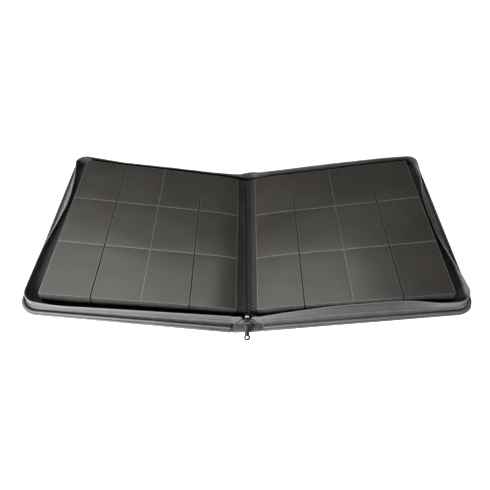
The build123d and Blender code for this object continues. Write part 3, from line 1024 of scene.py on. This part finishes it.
def filmStrip(side, number, low, high, over, detail):
    pocket = leafLength / leaf["columns"]
    rowHeight = 2 * leafHalf / leaf["rows"]
    welds = [pocket * k for k in range(1, leaf["columns"]) if low + 5 * mm < pocket * k < high - 5 * mm]
    rowWelds = [-leafHalf + rowHeight * k for k in range(1, leaf["rows"])]
    sLines = gridLines(low, high, welds, leaf["spacing"] * detail)
    yLines = gridLines(-leafHalf, leafHalf, rowWelds, leaf["spacing"] * detail)
    s, y = np.meshgrid(sLines, yLines, indexing="ij")
    edges = ((low, low > mm), (high, high < leafLength - mm))  # each with whether it is an open slit
    near = [np.abs(s - w) for w in welds] + [np.abs(y - w) for w in rowWelds + [-leafHalf, leafHalf]]
    near += [np.abs(s - edge) for edge, isOpen in edges if not isOpen]
    puff = leaf["puff"] * (1 - np.exp(-np.min(near, axis=0) / leaf["puffReach"]))
    rowPart = ((y + leafHalf) / rowHeight) % 1.0
    for edge, isOpen in edges:
        if isOpen:
            puff += leaf["lipLift"] * np.exp(-((s - edge) / leaf["lipReach"]) ** 2) * np.sin(math.pi * rowPart) ** 2
    flat = np.stack([s.ravel(), y.ravel()], -1)
    rough = wobble(flat, 19 * mm, number + 20.0 * over).reshape(s.shape)
    height = puff - leaf["sunk"] + leaf["grain"] * rough
    edgePull = np.where(np.abs(np.abs(y) - leafHalf) < 0.1 * mm, leaf["ragged"], 0)
    ragged = edgePull * (0.5 + 0.5 * wobble(flat, 7 * mm, 1.0 + number).reshape(s.shape)) * np.sign(y)
    y = y - ragged
    sign = 1 if over else -1
    level = -(number - 1) * leafPitch + (0 if over else -leafThick)
    sag = leafWave(s, y, side) - leafDroop(s, number)
    inner = level - sign * leaf["film"] + sag
    verts = leafPoints(side, s, y, level + sign * height + sag)
    rows, columns = s.shape
    faces = gridFaces(rows, columns)
    midS, midY = (sLines[1:] + sLines[:-1]) / 2, (yLines[1:] + yLines[:-1]) / 2
    rims = [(edge, leaf["lip"] if isOpen else leaf["border"]) for edge, isOpen in edges]
    kind = []
    for a in midS:
        for b in midY:
            light = min(abs(b - w) for w in rowWelds) < leaf["weld"] or any(abs(a - w) < leaf["fine"] for w in welds)
            light = light or leafHalf - abs(b) < leaf["border"] or any(abs(a - edge) < width for edge, width in rims)
            kind.append(int(light))
    base = len(verts)
    picks = list(range(0, columns - 1, leaf["underStep"])) + [columns - 1]
    under = {}
    for i in range(rows):
        for j in picks:
            under[i, j] = base + len(under)
            verts.append(leafPoint(side, s[i, j], y[i, j], inner[i, j]))
    first = len(faces)
    for i in range(rows - 1):
        for j, k in zip(picks, picks[1:]):
            faces.append((under[i, j], under[i, k], under[i + 1, k], under[i + 1, j]))
        for j in (0, columns - 1):
            faces.append((i * columns + j, (i + 1) * columns + j, under[i + 1, j], under[i, j]))
    for i in (0, rows - 1):
        for j, k in zip(picks, picks[1:]):
            faces.append(tuple(range(i * columns + j, i * columns + k + 1)) + (under[i, k], under[i, j]))
    return verts, faces, kind + [3] * (len(faces) - first)


def coreSheet(side, number):
    sLines = gridLines(0.3 * mm, leafLength - 0.3 * mm, [], leaf["spacing"] * 2)
    yLines = gridLines(-leafHalf + 0.4 * mm, leafHalf - 0.4 * mm, [], leaf["spacing"] * 2)
    s, y = np.meshgrid(sLines, yLines, indexing="ij")
    level = -(number - 1) * leafPitch + leafWave(s, y, side) - leafDroop(s, number)
    inset = leaf["film"] + leaf["coreGap"]
    verts = leafPoints(side, s, y, level - inset) + leafPoints(side, s, y, level - leafThick + inset)
    rows, columns = s.shape
    count = rows * columns
    faces = gridFaces(rows, columns) + gridFaces(rows, columns, count)
    faces += [(a, b, b + count, a + count) for a, b in rimEdges(rows, columns)]
    return verts, faces, [2] * len(faces)


def makeLeaf(name, side, number):
    pocket, slit = leafLength / leaf["columns"], leaf["slit"]
    detail = 1.0 if number == 1 else leaf["coarse"]
    parts = [coreSheet(side, number)]
    for low, high in ((0, pocket - slit), (pocket + slit, 3 * pocket - slit), (3 * pocket + slit, leafLength)):
        parts += [filmStrip(side, number, low, high, over, detail) for over in (1, 0)]
    verts, faces, kinds = [], [], []
    for v, f, k in parts:
        faces += [tuple(index + len(verts) for index in face) for face in f]
        verts += v
        kinds += k
    piece = makeObject(f"{name}Leaf{number:02d}", verts, faces,
                       [mats["film"], mats["weldLine"], mats["pageCore"], mats["leafEdge"]], kinds)
    node = f"{name}_leaf_{number:02d}"
    settle(piece, node, "page_film", node)


margin = {"thick": 0.5 * mm, "across": 12, "along": 40, "innerX": 0.9 * mm, "sink": 0.35 * mm}
marginLength = (leafOrigin.x - margin["innerX"]) / tiltCos


def marginSink(s):
    return margin["sink"] * np.sin(math.pi * (s + marginLength) / marginLength)


def makeMargin(name, side, number):
    s = np.linspace(-marginLength, -0.1 * mm, margin["across"])
    grid = flatGrid(s, np.linspace(-leafHalf, leafHalf, margin["along"]))
    middle = -(number - 1) * leafPitch - leafThick / 2 - float(leafDroop(np.array(0.0), number))
    layers = [lifted(lambda a, b, n: leafPoint(side, a, b, n), grid, middle + half - marginSink(grid[..., 0]))
              for half in (margin["thick"] / 2, -margin["thick"] / 2)]
    # only the right top margin gets the embossed finish; on the left top leaf the dark core colour is painted shade
    # over the margin, on lower leaves it is their hidden core
    embossingShown = side > 0 and number == 1
    pieces = [thinSolid(f"{name}Margin{number:02d}", *layers, [mats["margin" if embossingShown else "pageCore"]], grid)]
    if embossingShown:
        pieces.append(makeWeldDots(side, middle + margin["thick"] / 2))
    for item in pieces:
        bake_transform(item)
    if number == 1:
        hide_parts(f"{name}_page_margins")


weldDots = {"Spacing": 5.6 * mm, "Length": 3.5 * mm, "Width": 3.4 * mm, "Height": 0.9 * mm}
dotRows = ((1.6 * mm, 0), (5.0 * mm, 2.8 * mm))  # from the margin's inner edge, and how far along they start


def makeWeldDots(side, level):
    paths = []
    for inset, shift in dotRows:
        s = inset - marginLength
        y = np.linspace(-leafHalf + 2 * mm + shift, leafHalf - 4 * mm + shift, 40)
        paths.append([leafPoint(side, s, b, level - marginSink(s)) for b in y])
    # the dots are coloured near black: painted shade inside the weld pits
    return beadsAlong("marginWeldDots", stitchRow, paths, weldDots, mats["pitShadePaint"])


def makeBindingFold(name, side):
    top = leafPoint(1, -marginLength, 0, -leafThick / 2 - float(leafDroop(np.array(0.0), 1)))
    bottom = leafPoint(1, -marginLength, 0, -(leafCount - 1) * leafPitch - leafThick / 2)
    t = np.linspace(0, 1, 10)
    y = np.linspace(-leafHalf + 0.5 * mm, leafHalf - 0.5 * mm, 30)
    x = top[0] + (bottom[0] - top[0]) * t - 0.35 * mm
    z = top[2] + (bottom[2] - top[2]) * t
    front, back = (np.array([[(side * (a + shift), b, c) for b in y] for a, c in zip(x, z)])
                   for shift in (-0.1 * mm, 0.25 * mm))
    piece = thinSolid(f"{name}BindingFold", front, back, [mats["lining"]], flatGrid(z, y))
    settle(piece, f"{name}_binding", "lining")


for sideName, side in sides.items():
    for number in range(1, leafCount + 1):
        makeLeaf(sideName, side, number)
        makeMargin(sideName, side, number)
    makeBindingFold(sideName, side)
print("leaves made")


# floor
floor = {"size": 12, "below": 0.4 * mm, "tone": 0.92, "rough": 0.9, "glow": 1.0}


def makeFloor():
    mat = newMaterial("paleFloor", (floor["tone"],) * 3, floor["rough"], Emission_Color=(1, 1, 1, 1),
                      Emission_Strength=floor["glow"])
    bpy.ops.mesh.primitive_plane_add(size=floor["size"], location=(0, 0, -floor["below"]))
    obj = bpy.context.active_object
    obj.name = "floor"
    obj.data.materials.append(mat)


makeFloor()
